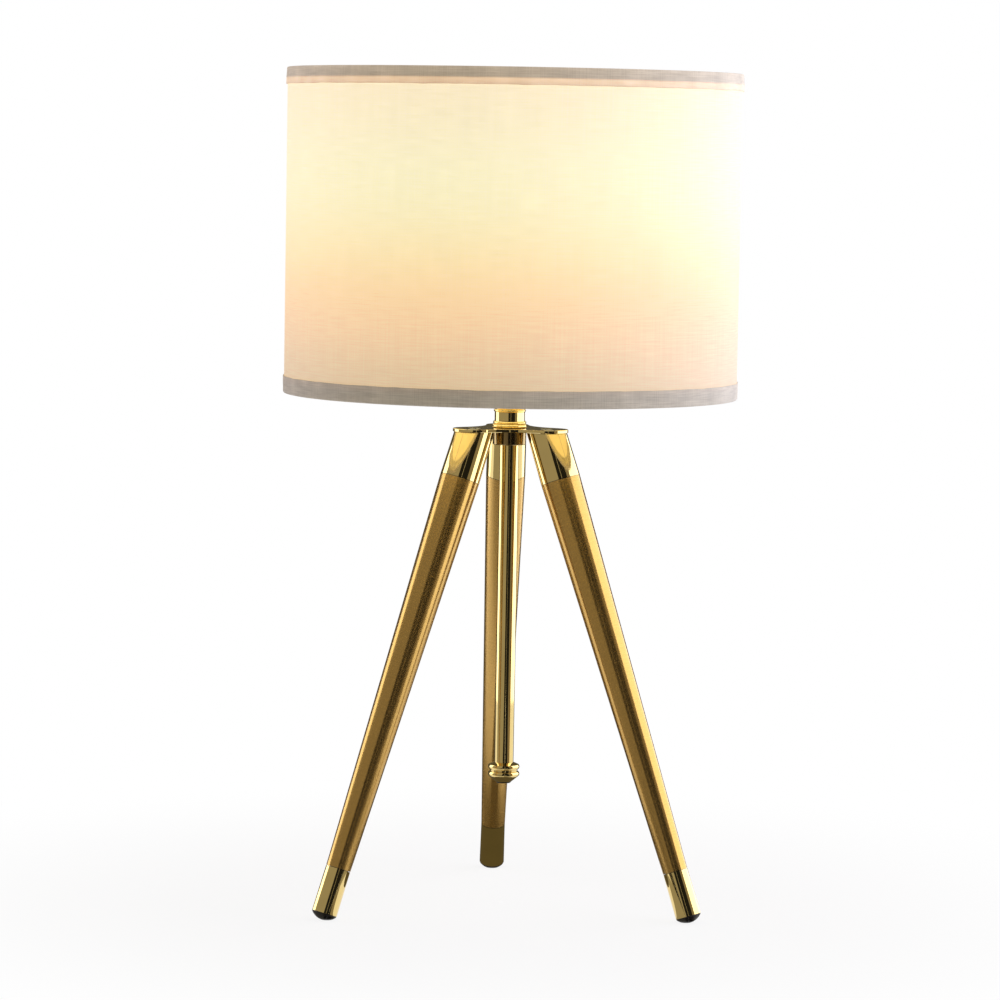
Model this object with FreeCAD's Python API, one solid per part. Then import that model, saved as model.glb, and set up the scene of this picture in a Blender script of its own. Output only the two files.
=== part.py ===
import FreeCAD, Part
import math
import os

os.makedirs("parts", exist_ok=True)

# Tripod table lamp, in millimetres. The origin is on the floor under the
# lamp's axis, +Z is up and the back leg stands along +Y.

# ---- Fits ----
fit_gap = 0.05               # between parts pushed or screwed together
turning_clearance = 0.08     # radial, between parts that turn on each other
seat_gap = 0.1               # axial, between parts that turn on each other
joint_gap = 0.3              # shadow line between a leg and its end pieces
cut_overrun = 1.0            # how far a cutting shape goes past what it cuts

# ---- Legs ----
leg_directions = {"back": 90.0, "left": 210.0, "right": 330.0}
hub_height = 294.5           # floor to the hub plate's underside
foot_spread = 129.3          # lamp axis to a leg's axis, at the floor
head_spread = 25.6           # lamp axis to a leg's axis, under the plate
leg_head_radius = 12.3       # leg tube at its upper joint
leg_ankle_radius = 7.65      # leg tube at its lower joint
leg_wall = 1.2
sleeve_length = 31.0         # along the leg, up to the plate
sleeve_top_radius = 11.9
sleeve_wall = 1.6
plug_length = 18.0           # tapped plug in the sleeve's head
spigot_length = 12.0         # of sleeve and tip, inside the leg tube
spigot_wall = 1.5
tip_length = 28.0
tip_foot_radius = 7.9        # the tip flares a little towards the floor
tip_seat = 4.2               # floor to the tip's end, along the leg
pad_rim_inset = 0.3          # the pad's edge is set back from the tip's
pad_rim_height = 0.7
pad_flat_depth = 0.1         # how much of the pad's dome the floor takes off
pad_stem_radius = 3.0
pad_stem_length = 7.0

# ---- Hub ----
plate_thickness = 2.0
plate_margin = 0.7           # plate edge beyond the sleeves' cut ends
plate_waist_radius = 30.0    # hollow arcs between the three lobes
plate_chamfer = 0.25
boss_radius = 10.3
boss_height = 8.6
boss_edge = 0.4
nipple_radius = 4.9
nipple_bore_radius = 3.6
screw_radius = 2.0
screw_head_radius = 3.75
screw_length = 12.0          # below the plate
screw_end_room = 1.0         # under the screw's end, in the plug
screw_socket_radius = 1.45
screw_socket_depth = 1.2

# ---- Centre rod and finial ----
rod_radius = 6.0
rod_wall = 1.05
rod_length = 203.8
rod_seat_depth = 6.0         # of the rod in the boss
nipple_grip = 16.0           # of a threaded tube in the rod
nipple_end = 1.0             # threaded tube that shows above the lock nut
finial_radius = 9.75
finial_height = 12.1
finial_nose_radius = 4.9
finial_cone_height = 3.6
finial_bead_height = 2.6
finial_bead_bow = 0.45       # swell of each bead
finial_waist_radius = 8.6
finial_waist_height = 1.9    # between the two beads
finial_waist_slope = 0.4
bush_radius = 4.0
bush_length = 5.5
bush_collar_radius = 4.5
bush_collar_height = 0.8
bush_edge = 0.3
outlet_radius = 3.2          # cable outlet

# ---- Neck ----
neck_foot_radius = 10.8
neck_foot_height = 2.1
neck_bead_radius = 10.25
neck_bead_height = 1.9
neck_bead_bow = 0.35         # swell of each bead
neck_waist_radius = 9.3
neck_waist_height = 5.7
collar_bead_radius = 9.9
collar_bead_height = 1.6
flare_radius = 18.2
flare_height = 6.7
flare_hollow = 1.4           # depth of the flare's cove
cup_lip_height = 2.0
cup_lip_wall = 1.0

# ---- Lampholder ----
cap_height = 15.5
cap_foot_height = 3.0        # straight part in the neck's cup
cap_cone_height = 7.0
cap_wall = 1.6
cap_floor = 2.0
nut_across_flats = 14.0
nut_height = 3.0
shoulder_radius = 23.0
shoulder_thickness = 2.0
skirt_radius = 19.7
skirt_wall = 1.9
skirt_height = 30.0          # above the shoulder
skirt_lip = 1.6
skirt_edge = 0.6
insert_depth = 5.0           # of the insert below the shoulder
socket_floor_height = 7.0    # socket floor above the shoulder's underside
shell_wall = 0.4
shell_floor_hole = 7.5
tongue_margin = 1.0          # from the tongue's feet to the edge of the shell's hole
tongue_height = 2.6
tongue_width = 5.0
terminal_size = (5.0, 8.0, 5.0)
terminal_offset = 9.5
terminal_screw_radius = 1.4
terminal_screw_head = 2.0
terminal_head_height = 1.2
retainer_radius = 27.5
retainer_flange = 2.0
retainer_collar_radius = 23.2
retainer_height = 7.5
retainer_lug_count = 12
retainer_lug_width = 3.0
retainer_lug_margin = 0.7    # from a lug's outer face to the flange's rim

# ---- Bulb ----
bulb_cap_radius = 13.1
bulb_cap_length = 27.0
bulb_cap_wall = 0.4
bulb_cap_lead = 1.5          # cone at the cap's lower end
bulb_length = 108.0
bulb_radius = 30.0
bulb_shoulder_angle = 28.0   # degrees below the globe's equator where the cone meets it
bulb_glass_wall = 1.0
bulb_glass_overlap = 4.0     # of the glass in the cap
bulb_contact_radius = 4.8
bulb_contact_height = 1.2
bulb_contact_edge = 0.5
insulator_radius = 11.0
insulator_height = 2.6
insulator_rim = 0.4
stem_foot_radius = 5.8
stem_flare_drop = 2.0        # from the cap's top down to the stem's wide ring
stem_flare_taper = 6.0
stem_radius = 2.5
stem_disc_radius = 5.5
stem_disc_thickness = 1.0
filament_radius = 0.9
filament_length = 38.0
filament_ring = 4.2
filament_count = 4

# ---- Shade ----
shade_radius = 140.0
shade_height = 199.0
fabric_thickness = 0.65
liner_thickness = 0.5
trim_thickness = 0.55
trim_band = 10.5             # trim on the outside of the shade
trim_return = 8.5            # trim on the inside of the shade
trim_edge = 1.0              # chamfer of the fold at the rim
trim_taper = 2.0
wire_radius = 1.45
wire_sides = 8               # flats that stand for the wire's round section
seam_width = 9.0
seam_thickness = 0.35
fitter_drop = 15.5           # shade's lower edge below the fitter's seat
fitter_radius = 31.0
fitter_thickness = 1.2
arm_radius = 1.5
arm_overlap = 1.0            # of an arm with the fitter ring, before it is cut to fit
arm_sink = 0.6               # of an arm in the wire, before it is cut to fit
arm_notch = 0.3              # clearance round an arm in the lower trim

# ---- Values that follow from those above ----
origin = FreeCAD.Vector(0, 0, 0)
up = FreeCAD.Vector(0, 0, 1)
depth_axis = FreeCAD.Vector(0, 1, 0)
leg_tilt = math.atan2(foot_spread - head_spread, hub_height)
leg_axis_length = math.hypot(foot_spread - head_spread, hub_height)
lower_joint = tip_seat + tip_length
upper_joint = leg_axis_length - sleeve_length
plug_seat = leg_axis_length - plug_length
sleeve_bore = sleeve_top_radius - sleeve_wall
plate_top = hub_height + plate_thickness
lobe_radius = sleeve_top_radius / math.cos(leg_tilt) + plate_margin
boss_bottom = hub_height - boss_height
rod_top = boss_bottom + rod_seat_depth
rod_bottom = rod_top - rod_length
rod_bore = rod_radius - rod_wall
finial_bottom = rod_bottom - finial_height
nipple_hole = nipple_radius + fit_gap
neck_waist_bottom = plate_top + neck_foot_height + neck_bead_height
neck_waist_top = neck_waist_bottom + neck_waist_height
flare_bottom = neck_waist_top + collar_bead_height
holder_bottom = flare_bottom + flare_height
shoulder_bottom = holder_bottom + cap_height
fitter_seat = shoulder_bottom + shoulder_thickness
skirt_top = fitter_seat + skirt_height
insert_bottom = shoulder_bottom - insert_depth
socket_floor = shoulder_bottom + socket_floor_height
shell_bore = bulb_cap_radius + turning_clearance
contact_top = socket_floor + tongue_height
bulb_bottom = contact_top + seat_gap
bulb_cap_top = bulb_bottom + bulb_cap_length
globe_centre = bulb_bottom + bulb_length - bulb_radius
shade_bottom = fitter_seat - fitter_drop
shade_top = shade_bottom + shade_height
laminate_outside = shade_radius - trim_thickness
liner_outside = laminate_outside - fabric_thickness
liner_inside = liner_outside - liner_thickness
trim_edge_inside = trim_edge - trim_thickness * math.tan(math.radians(45 / 2))
laminate_bottom = shade_bottom + trim_thickness + trim_edge_inside + fit_gap
laminate_top = shade_top - trim_thickness - trim_edge_inside - fit_gap
wire_ring_radius = liner_inside - fit_gap - wire_radius
wire_depth = trim_thickness + fit_gap + wire_radius
fitter_bottom = fitter_seat + seat_gap
fitter_top = fitter_bottom + fitter_thickness


def at(radius, height):
    """Point of the XZ half plane."""
    return FreeCAD.Vector(radius, 0, height)


def outline(start, *steps):
    """Face in the XZ half plane, closed back to its start.

    A step is a corner (radius, height), or (radius, height, bow) for an arc that
    swells by bow to the right of the way it goes, or hollows if bow is negative.
    """
    edges = []
    here = at(*start)
    for radius, height, *bow in steps + (start,):
        there = at(radius, height)
        if bow:
            way = there - here
            swell = depth_axis.cross(way) * (bow[0] / way.Length)
            edges.append(Part.Arc(here, (here + there) * 0.5 + swell, there).toShape())
        else:
            edges.append(Part.LineSegment(here, there).toShape())
        here = there
    return Part.Face(Part.Wire(edges))


def turned(start, *steps):
    """Solid turned about the Z axis from an outline."""
    return outline(start, *steps).revolve(origin, up, 360)


def tube(outer, inner, bottom, top):
    return turned((inner, bottom), (outer, bottom), (outer, top), (inner, top))


def disc(radius, bottom, top):
    return Part.makeCylinder(radius, top - bottom, FreeCAD.Vector(0, 0, bottom))


def round_bar(radius, start, end):
    return Part.makeCylinder(radius, (end - start).Length, start, end - start)


def spun(shape, angle):
    """Copy of a shape, turned about the lamp's axis."""
    copy = shape.copy()
    copy.rotate(origin, up, angle)
    return copy


def save(node, *solids):
    shape = solids[0] if len(solids) == 1 else Part.makeCompound(list(solids))
    shape.exportStep("parts/" + node + ".step")


# ---- Legs: turned about their own axis, then leaned and cut off level ----

def leg_radius(along):
    """Outer radius of the leg tube at a distance from the floor along its axis."""
    share = (along - lower_joint) / (upper_joint - lower_joint)
    return leg_ankle_radius + share * (leg_head_radius - leg_ankle_radius)


def leaned(shape):
    """Lean a turned piece to the leg's axis and keep what lies between floor and plate."""
    shape.rotate(origin, depth_axis, -math.degrees(leg_tilt))
    shape.translate(FreeCAD.Vector(foot_spread, 0, 0))
    reach = foot_spread + leg_axis_length
    space = Part.makeBox(2 * reach, 2 * reach, hub_height, FreeCAD.Vector(-reach, -reach, 0))
    return shape.common(space).Solids[0]


def spigot_radius(along):
    return leg_radius(along) - leg_wall - fit_gap


def make_sleeve():
    overrun = leg_axis_length + 2 * sleeve_top_radius * math.tan(leg_tilt)
    collar = upper_joint + joint_gap
    low = upper_joint - spigot_length
    spigot_bore = spigot_radius(low) - spigot_wall
    return leaned(turned(
        (spigot_bore, low), (spigot_radius(low), low),
        (spigot_radius(upper_joint), upper_joint), (spigot_radius(upper_joint), collar),
        (leg_head_radius, collar), (sleeve_top_radius, leg_axis_length),
        (sleeve_top_radius, overrun), (sleeve_bore, overrun),
        (sleeve_bore, plug_seat), (spigot_bore, plug_seat)))


def make_plug():
    overrun = leg_axis_length + 2 * sleeve_top_radius * math.tan(leg_tilt)
    plug = leaned(disc(sleeve_bore - fit_gap, plug_seat, overrun))
    hole = disc(screw_radius + fit_gap, hub_height - screw_length - screw_end_room, hub_height)
    hole.translate(FreeCAD.Vector(head_spread, 0, 0))
    return plug.cut(hole)


def make_leg_tube():
    low = lower_joint + joint_gap
    high = upper_joint
    return leaned(turned(
        (leg_radius(low) - leg_wall, low), (leg_radius(low), low),
        (leg_radius(high), high), (leg_radius(high) - leg_wall, high)))


def make_tip():
    high = lower_joint + spigot_length
    stem_hole = pad_stem_radius + fit_gap
    stem_top = tip_seat + pad_stem_length + fit_gap
    return leaned(turned(
        (stem_hole, tip_seat), (tip_foot_radius, tip_seat),
        (leg_ankle_radius, lower_joint), (spigot_radius(lower_joint), lower_joint),
        (spigot_radius(high), high), (0, high), (0, stem_top), (stem_hole, stem_top)))


def make_pad():
    """Domed pad. The floor cuts a small level flat on the dome."""
    rim = tip_foot_radius - pad_rim_inset
    dome = tip_seat - pad_rim_height
    depth = dome + pad_flat_depth
    ball = (rim ** 2 + depth ** 2) / (2 * depth)
    bow = ball * (1 - math.cos(math.asin(rim / ball) / 2))
    stem_top = tip_seat + pad_stem_length
    return leaned(turned(
        (0, -pad_flat_depth), (rim, dome, bow), (rim, tip_seat),
        (pad_stem_radius, tip_seat), (pad_stem_radius, stem_top), (0, stem_top)))


def make_leg_screw():
    """Countersunk screw, flush with the plate's top, with a hexagon socket."""
    tip = hub_height - screw_length
    head_top = plate_top - fit_gap
    screw = turned(
        (0, tip), (screw_radius, tip), (screw_radius, hub_height),
        (screw_head_radius - fit_gap, head_top), (0, head_top))
    socket = hexagon(screw_socket_radius, head_top - screw_socket_depth, head_top)
    screw = screw.cut(socket)
    screw.translate(FreeCAD.Vector(head_spread, 0, 0))
    return screw


def hexagon(corner_radius, bottom, top):
    corners = []
    for step in range(7):
        angle = math.radians(30 + 60 * step)
        corners.append(FreeCAD.Vector(corner_radius * math.cos(angle),
                                      corner_radius * math.sin(angle), bottom))
    return Part.Face(Part.makePolygon(corners)).extrude(FreeCAD.Vector(0, 0, top - bottom))


# ---- Hub ----

def polar(radius, angle, height):
    return FreeCAD.Vector(radius * math.cos(math.radians(angle)),
                          radius * math.sin(math.radians(angle)), height)


def make_hub_plate():
    """Three round lobes over the legs, joined by hollow arcs that run into them smoothly."""
    reach = lobe_radius + plate_waist_radius
    waist_centre = (head_spread + math.sqrt(4 * reach ** 2 - 3 * head_spread ** 2)) / 2
    edges = []
    for direction in leg_directions.values():
        lobe = polar(head_spread, direction, hub_height)
        joins = []
        for side in (-60, 60):
            hollow = polar(waist_centre, direction + side, hub_height)
            joins.append(lobe + (hollow - lobe) * (lobe_radius / reach))
        tip = polar(head_spread + lobe_radius, direction, hub_height)
        edges.append(Part.Arc(joins[0], tip, joins[1]).toShape())
        waist = polar(waist_centre - plate_waist_radius, direction + 60, hub_height)
        after = spun(Part.Vertex(joins[0]), 120).Point
        edges.append(Part.Arc(joins[1], waist, after).toShape())
    plate = Part.Face(Part.Wire(edges)).extrude(FreeCAD.Vector(0, 0, plate_thickness))
    rims = [edge for edge in plate.Edges if edge.BoundBox.ZLength < plate_chamfer]
    plate = plate.makeChamfer(plate_chamfer, rims)
    below = hub_height - cut_overrun
    above = plate_top + cut_overrun
    plate = plate.cut(disc(nipple_hole, below, above))
    sink = turned(
        (0, below), (screw_radius + fit_gap, below),
        (screw_radius + fit_gap, hub_height), (screw_head_radius, plate_top - fit_gap),
        (screw_head_radius, above), (0, above))
    sink.translate(FreeCAD.Vector(head_spread, 0, 0))
    for direction in leg_directions.values():
        plate = plate.cut(spun(sink, direction))
    return plate


def make_hub_boss():
    return turned(
        (rod_radius + fit_gap, boss_bottom), (boss_radius - boss_edge, boss_bottom),
        (boss_radius, boss_bottom + boss_edge), (boss_radius, hub_height),
        (nipple_hole, hub_height), (nipple_hole, rod_top + fit_gap),
        (rod_radius + fit_gap, rod_top + fit_gap))


# ---- Neck ----

def make_neck():
    """Turned neck: two foot beads, a plain waist, a collar bead and a flare with a lipped cup."""
    bow = neck_bead_bow
    bead_low = plate_top + neck_foot_height
    lip_top = holder_bottom + cup_lip_height
    cup_radius = flare_radius - cup_lip_wall
    return turned(
        (nipple_hole, plate_top), (neck_foot_radius - bow, plate_top),
        (neck_foot_radius - bow, bead_low, bow), (neck_bead_radius - bow, bead_low),
        (neck_bead_radius - bow, neck_waist_bottom, bow),
        (neck_waist_radius, neck_waist_bottom), (neck_waist_radius, neck_waist_top),
        (collar_bead_radius - bow, neck_waist_top),
        (collar_bead_radius - bow, flare_bottom, bow),
        (flare_radius, holder_bottom - cup_lip_wall, -flare_hollow),
        (flare_radius, lip_top), (cup_radius, lip_top),
        (cup_radius, holder_bottom), (nipple_hole, holder_bottom))


# ---- Centre rod and finial ----

def make_finial():
    """Turned end: a cone that starts narrow, two beads with a groove between, a bore for the cable."""
    bow = finial_bead_bow
    bead = finial_radius - bow
    cone_top = finial_bottom + finial_cone_height
    lower_bead = cone_top + finial_bead_height
    upper_bead = lower_bead + finial_waist_height
    upper_bead_top = upper_bead + finial_bead_height
    bush_top = finial_bottom + bush_length
    return turned(
        (bush_radius + fit_gap, finial_bottom), (finial_nose_radius, finial_bottom),
        (bead, cone_top), (bead, lower_bead, bow),
        (finial_waist_radius, lower_bead + finial_waist_slope),
        (finial_waist_radius, upper_bead - finial_waist_slope),
        (bead, upper_bead), (bead, upper_bead_top, bow),
        (rod_radius, rod_bottom), (nipple_hole, rod_bottom),
        (nipple_hole, bush_top), (bush_radius + fit_gap, bush_top))


def make_outlet_bush():
    collar_bottom = finial_bottom - bush_collar_height
    bush_top = finial_bottom + bush_length - fit_gap
    return turned(
        (outlet_radius, collar_bottom), (bush_collar_radius - bush_edge, collar_bottom),
        (bush_collar_radius, collar_bottom + bush_edge), (bush_collar_radius, finial_bottom),
        (bush_radius, finial_bottom), (bush_radius, bush_top), (outlet_radius, bush_top))


# ---- Lampholder ----

def make_holder_cap():
    foot = flare_radius - cup_lip_wall - fit_gap
    foot_top = holder_bottom + cap_foot_height
    cone_top = foot_top + cap_cone_height
    floor_top = holder_bottom + cap_floor
    return turned(
        (nipple_hole, holder_bottom), (foot, holder_bottom), (foot, foot_top),
        (skirt_radius, cone_top), (skirt_radius, shoulder_bottom),
        (skirt_radius - cap_wall, shoulder_bottom), (skirt_radius - cap_wall, cone_top),
        (foot - cap_wall, foot_top), (foot - cap_wall, floor_top), (nipple_hole, floor_top))


def make_holder_shell():
    bore = skirt_radius - skirt_wall
    mouth = shell_bore + shell_wall + fit_gap
    return turned(
        (bore, shoulder_bottom), (shoulder_radius, shoulder_bottom),
        (shoulder_radius, fitter_seat), (skirt_radius, fitter_seat),
        (skirt_radius, skirt_top - skirt_edge), (skirt_radius - skirt_edge, skirt_top),
        (mouth, skirt_top), (mouth, skirt_top - skirt_lip), (bore, skirt_top - skirt_lip))


def make_insert():
    outer = skirt_radius - skirt_wall - fit_gap
    cavity = shell_bore + shell_wall + fit_gap
    top = skirt_top - skirt_lip - fit_gap
    return turned(
        (0, insert_bottom), (outer, insert_bottom), (outer, top), (cavity, top),
        (cavity, socket_floor), (0, socket_floor))


def make_screw_shell():
    outer = shell_bore + shell_wall
    top = skirt_top - skirt_lip
    return turned(
        (shell_floor_hole, socket_floor), (outer, socket_floor), (outer, top),
        (shell_bore, top), (shell_bore, socket_floor + shell_wall),
        (shell_floor_hole, socket_floor + shell_wall))


def make_centre_contact():
    """Sprung tongue: a foot on the socket floor, a ramp and a flat that meets the bulb."""
    foot = shell_floor_hole - tongue_margin
    head = foot / 2
    thin = shell_wall
    face = outline(
        (-foot, socket_floor), (-head, socket_floor), (0, contact_top - thin),
        (head, contact_top - thin), (head, contact_top), (-thin, contact_top),
        (-head - thin, socket_floor + thin), (-foot, socket_floor + thin))
    tongue = face.extrude(FreeCAD.Vector(0, tongue_width, 0))
    tongue.translate(FreeCAD.Vector(0, -tongue_width / 2, 0))
    return tongue


def make_terminals():
    """Two tapped blocks under the insert, and their screws."""
    width, depth, height = terminal_size
    blocks = []
    screws = []
    for side in (0, 180):
        inner = terminal_offset - width / 2
        outer = terminal_offset + width / 2
        level = insert_bottom - height / 2
        block = Part.makeBox(width, depth, height,
                             FreeCAD.Vector(inner, -depth / 2, insert_bottom - height))
        shank = round_bar(terminal_screw_radius, at(terminal_offset, level), at(outer, level))
        head = round_bar(terminal_screw_head, at(outer, level),
                         at(outer + terminal_head_height, level))
        blocks.append(spun(block.cut(shank), side))
        screws.append(spun(shank.fuse(head).removeSplitter(), side))
    return blocks, screws


def make_retaining_ring():
    bore = skirt_radius + turning_clearance
    bottom = fitter_top + seat_gap
    top = bottom + retainer_height
    lug_bottom = bottom + retainer_flange
    ring = turned(
        (bore, bottom), (retainer_radius, bottom), (retainer_radius, lug_bottom),
        (retainer_collar_radius, lug_bottom), (retainer_collar_radius, top), (bore, top))
    lug_root = (bore + retainer_collar_radius) / 2
    lug_reach = retainer_radius - retainer_lug_margin - lug_root
    lug = Part.makeBox(lug_reach, retainer_lug_width, top - lug_bottom,
                       FreeCAD.Vector(lug_root, -retainer_lug_width / 2, lug_bottom))
    lugs = [spun(lug, 360 / retainer_lug_count * count) for count in range(retainer_lug_count)]
    return ring.fuse(lugs).removeSplitter()


# ---- Bulb ----

def bulb_wall(inset):
    """Neck's top, end of the cone on the globe, and crown of the bulb, moved inwards."""
    globe = bulb_radius - inset
    neck = bulb_cap_radius - bulb_cap_wall - fit_gap - inset
    shoulder = math.radians(bulb_shoulder_angle)
    join = (globe * math.cos(shoulder), globe_centre - globe * math.sin(shoulder))
    neck_top = (neck, join[1] - (join[0] - neck) / math.tan(shoulder))
    crown = (0, globe_centre + globe)
    bow = globe * (1 - math.cos((math.radians(90) + shoulder) / 2))
    return neck_top, join, crown, bow


def make_bulb_glass():
    neck, join, crown, bow = bulb_wall(0)
    in_neck, in_join, in_crown, in_bow = bulb_wall(bulb_glass_wall)
    low = bulb_cap_top - bulb_glass_overlap
    return turned(
        (in_neck[0], low), (neck[0], low), neck, join, (*crown, bow),
        in_crown, (*in_join, -in_bow), in_neck)


def make_bulb_cap():
    shell_bottom = bulb_bottom + insulator_height
    inner = bulb_cap_radius - bulb_cap_wall
    lead_top = shell_bottom + bulb_cap_lead
    return turned(
        (insulator_radius - bulb_cap_wall, shell_bottom), (insulator_radius, shell_bottom),
        (bulb_cap_radius, lead_top), (bulb_cap_radius, bulb_cap_top),
        (inner, bulb_cap_top), (inner, lead_top + bulb_cap_wall))


def make_bulb_insulator():
    low = bulb_bottom + bulb_contact_height
    top = bulb_bottom + insulator_height
    rim = insulator_radius - bulb_cap_wall
    return turned(
        (0, low), (bulb_contact_radius, low), (rim, top - insulator_rim), (rim, top), (0, top))


def make_bulb_contact():
    top = bulb_bottom + bulb_contact_height
    return turned(
        (0, bulb_bottom), (bulb_contact_radius - bulb_contact_edge, bulb_bottom),
        (bulb_contact_radius, bulb_bottom + bulb_contact_edge),
        (bulb_contact_radius, top), (0, top))


def make_bulb_stem():
    """Glass stem on the cap's insulator, with two discs that hold the light sticks."""
    foot = bulb_bottom + insulator_height
    flare = bulb_cap_radius - bulb_cap_wall - bulb_glass_wall - 2 * fit_gap
    flare_top = bulb_cap_top - stem_flare_drop
    sticks_low = globe_centre - filament_length / 2
    sticks_high = sticks_low + filament_length
    low_disc = sticks_low - stem_disc_thickness
    return turned(
        (0, foot), (stem_foot_radius, foot), (flare, flare_top),
        (stem_radius, flare_top + stem_flare_taper), (stem_radius, low_disc),
        (stem_disc_radius, low_disc), (stem_disc_radius, sticks_low), (stem_radius, sticks_low),
        (stem_radius, sticks_high), (stem_disc_radius, sticks_high),
        (stem_disc_radius, sticks_high + stem_disc_thickness),
        (0, sticks_high + stem_disc_thickness))


def make_filaments():
    low = globe_centre - filament_length / 2
    stick = disc(filament_radius, low, low + filament_length)
    stick.translate(FreeCAD.Vector(filament_ring, 0, 0))
    return [spun(stick, 360 / filament_count * count) for count in range(filament_count)]


# ---- Shade ----

def make_fabric():
    """Cloth drum between the folds of the trims, with its lap seam at the back."""
    drum = tube(laminate_outside, liner_outside, laminate_bottom, laminate_top)
    seam_angle = math.degrees(seam_width / shade_radius)
    lap = outline(
        (laminate_outside - fit_gap, shade_bottom + trim_band),
        (laminate_outside + seam_thickness, shade_bottom + trim_band),
        (laminate_outside + seam_thickness, shade_top - trim_band),
        (laminate_outside - fit_gap, shade_top - trim_band)).revolve(origin, up, seam_angle)
    return drum.fuse(spun(lap, leg_directions["back"] - seam_angle / 2)).removeSplitter()


def make_liner():
    return tube(liner_outside, liner_inside, laminate_bottom, laminate_top)


def make_trim(rim, inwards):
    """Cloth folded over a rim: the outer band, the rim's edge and the return round the wire.

    inwards is 1 for the lower rim and -1 for the upper one.
    """
    def corner(radius, depth):
        return (radius, rim + inwards * depth)

    edge_inside = trim_thickness + trim_edge_inside
    fold = wire_ring_radius - wire_radius - fit_gap - trim_thickness
    behind_wire = wire_depth + wire_radius
    on_liner = liner_inside - trim_thickness
    return turned(
        corner(shade_radius, trim_band), corner(shade_radius, trim_edge),
        corner(shade_radius - trim_edge, 0), corner(fold + trim_edge, 0),
        corner(fold, trim_edge), corner(fold, behind_wire),
        corner(on_liner, behind_wire + trim_taper), corner(on_liner, trim_return),
        corner(liner_inside, trim_return), corner(liner_inside, behind_wire + trim_taper),
        corner(fold + trim_thickness, behind_wire),
        corner(fold + trim_thickness, edge_inside), corner(fold + edge_inside, trim_thickness),
        corner(laminate_outside - trim_edge_inside, trim_thickness),
        corner(laminate_outside, edge_inside), corner(laminate_outside, trim_band))


def make_ring_wire(height, radius):
    """Wire ring whose section has flats, as far apart as the wire is thick."""
    corner_radius = radius / math.cos(math.pi / wire_sides)
    corners = []
    for side in range(wire_sides):
        angle = 2 * math.pi * (side + 0.5) / wire_sides
        corners.append((wire_ring_radius + corner_radius * math.cos(angle),
                        height + corner_radius * math.sin(angle)))
    return turned(*corners)


def arm_ends():
    ring_end = at(fitter_radius - arm_overlap, (fitter_bottom + fitter_top) / 2)
    wire_end = at(wire_ring_radius - wire_radius + arm_sink, shade_bottom + wire_depth)
    return ring_end, wire_end


def make_arm(ring):
    """Arm cut to fit against the fitter ring and the wire, as it is before it is welded."""
    wire_room = make_ring_wire(shade_bottom + wire_depth, wire_radius + fit_gap)
    return round_bar(arm_radius, *arm_ends()).cut(ring).cut(wire_room)


def make_notch():
    return round_bar(arm_radius + arm_notch, *arm_ends())


# ---- The whole lamp ----

sleeve = make_sleeve()
plug = make_plug()
leg_tube = make_leg_tube()
tip = make_tip()
pad = make_pad()
for name, direction in leg_directions.items():
    save("leg_sleeve_" + name, spun(sleeve, direction))
    save("leg_plug_" + name, spun(plug, direction))
    save("leg_tube_" + name, spun(leg_tube, direction))
    save("leg_tip_" + name, spun(tip, direction))
    save("foot_pad_" + name, spun(pad, direction))

save("hub_plate", make_hub_plate())
save("hub_boss", make_hub_boss())
leg_screw = make_leg_screw()
save("leg_screws", *[spun(leg_screw, direction) for direction in leg_directions.values()])
save("neck_spool", make_neck())
nut_bottom = holder_bottom + cap_floor
nut_top = nut_bottom + nut_height
nut_corner = nut_across_flats / math.sqrt(3)
save("upper_nipple", tube(nipple_radius, nipple_bore_radius,
                          rod_top - nipple_grip, nut_top + nipple_end))
save("lock_nut", hexagon(nut_corner, nut_bottom, nut_top).cut(disc(nipple_hole, nut_bottom, nut_top)))

save("centre_rod", tube(rod_radius, rod_bore, rod_bottom, rod_top))
save("lower_nipple", tube(nipple_radius, nipple_bore_radius,
                          finial_bottom + bush_length, rod_bottom + nipple_grip))
save("finial", make_finial())
save("outlet_bush", make_outlet_bush())

save("lampholder_cap", make_holder_cap())
save("lampholder_shell", make_holder_shell())
save("lampholder_insert", make_insert())
save("screw_shell", make_screw_shell())
save("centre_contact", make_centre_contact())
terminal_blocks, terminal_screws = make_terminals()
save("terminal_blocks", *terminal_blocks)
save("terminal_screws", *terminal_screws)
save("retaining_ring", make_retaining_ring())

save("bulb_glass", make_bulb_glass())
save("bulb_cap", make_bulb_cap())
save("bulb_insulator", make_bulb_insulator())
save("bulb_contact", make_bulb_contact())
save("bulb_stem", make_bulb_stem())
save("bulb_filaments", *make_filaments())

fitter_ring = tube(fitter_radius, skirt_radius + turning_clearance, fitter_bottom, fitter_top)
arm = make_arm(fitter_ring)
bottom_trim = make_trim(shade_bottom, 1)
for direction in leg_directions.values():
    bottom_trim = bottom_trim.cut(spun(make_notch(), direction))
save("shade_fabric", make_fabric())
save("shade_liner", make_liner())
save("shade_top_trim", make_trim(shade_top, -1))
save("shade_bottom_trim", bottom_trim)
save("top_ring_wire", make_ring_wire(shade_top - wire_depth, wire_radius))
save("bottom_ring_wire", make_ring_wire(shade_bottom + wire_depth, wire_radius))
save("shade_fitter_ring", fitter_ring)
save("spider_arms", *[spun(arm, direction) for direction in leg_directions.values()])
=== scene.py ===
import math

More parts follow.
